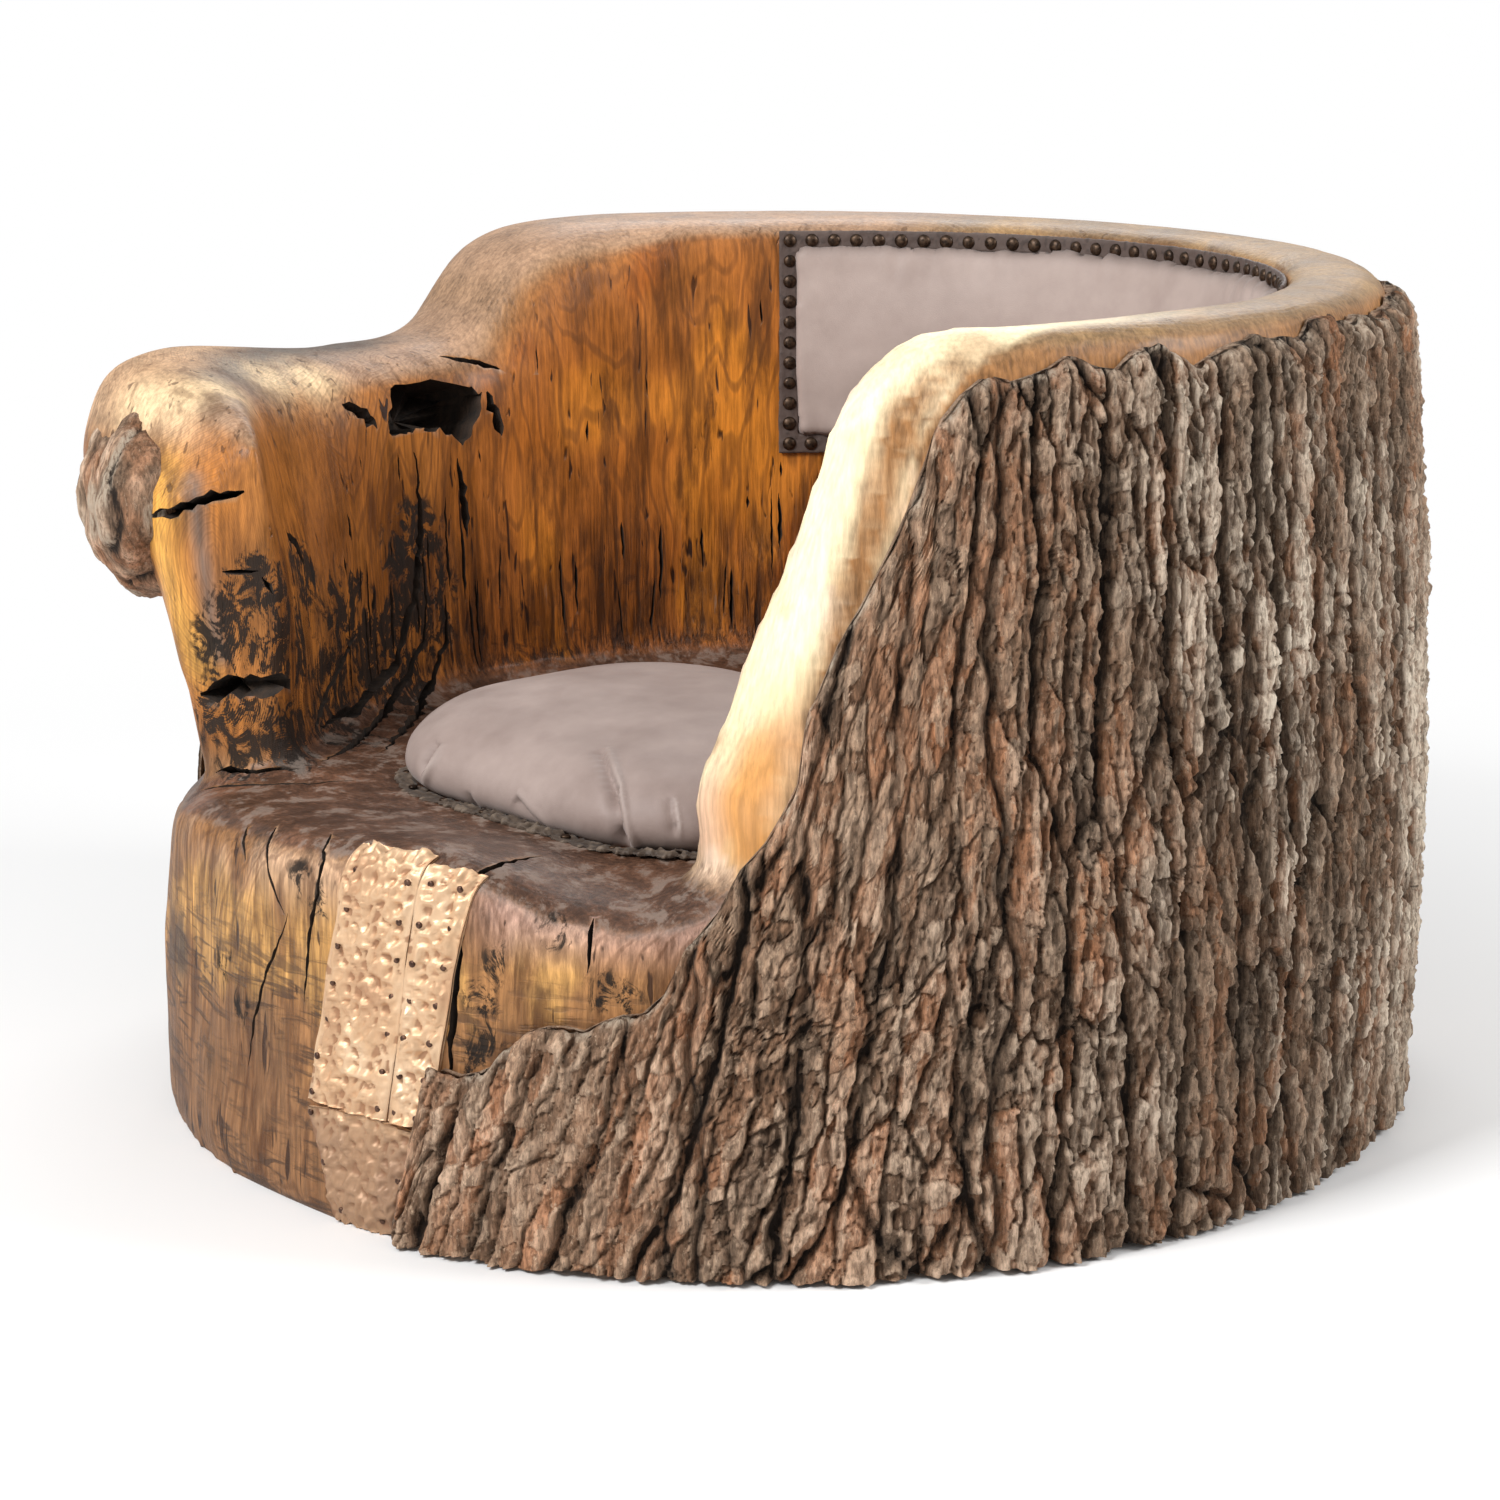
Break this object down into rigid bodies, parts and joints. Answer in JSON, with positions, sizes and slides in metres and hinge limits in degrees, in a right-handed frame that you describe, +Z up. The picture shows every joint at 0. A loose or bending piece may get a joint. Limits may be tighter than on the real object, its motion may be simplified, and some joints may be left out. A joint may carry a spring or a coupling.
{
  "type": "tree trunk chair",
  "caption": "Rustic tub chair hollowed from one tree trunk with its bark left on, a swept arm, a stub arm with a burl, a leather seat cushion, a nailed back pad and a copper patch.",
  "frame": {"origin": "on the trunk's axis, at the floor", "axes": "+Z up, the sitter faces -Y, the swept arm at +X and the stub arm with its burl at -X"},
  "size_m": [1.2305, 1.2288, 0.785],
  "materials": {
    "heartwood": "oiled and varnished, satin to gloss",
    "bark": "rough furrowed bark, matte",
    "leather": "soft matte hide",
    "border_leather": "matte band",
    "raw_leather": "cut edge, frayed",
    "padding": "stuffing, hidden",
    "bronze": "antiqued, dark",
    "copper": "hammered copper sheet, dulled",
    "copper_nails": "small hammered heads"
  },
  "bodies": {
    "root": {"trunk": "heartwood", "bark_slab_01": "bark", "bark_slab_02": "bark", "bark_slab_03": "bark", "bark_slab_04": "bark", "bark_slab_05": "bark", "bark_slab_06": "bark", "bark_slab_07": "bark", "bark_slab_08": "bark", "bark_slab_09": "bark", "bark_slab_10": "bark", "stub_arm_bark": "bark", "front_bark": "bark", "stub_arm_burl": "bark", "seat_filling": "padding", "back_filling": "padding", "seat_cover": "leather", "back_cover": "leather", "back_border": "border_leather", "seat_edging": "raw_leather", "seat_tacks": "bronze", "back_nails": "bronze", "copper_left": "copper", "copper_right": "copper", "copper_foot": "copper", "copper_left_nails": "copper_nails", "copper_right_nails": "copper_nails", "copper_foot_nails": "copper_nails"}
  },
  "joints": []
}
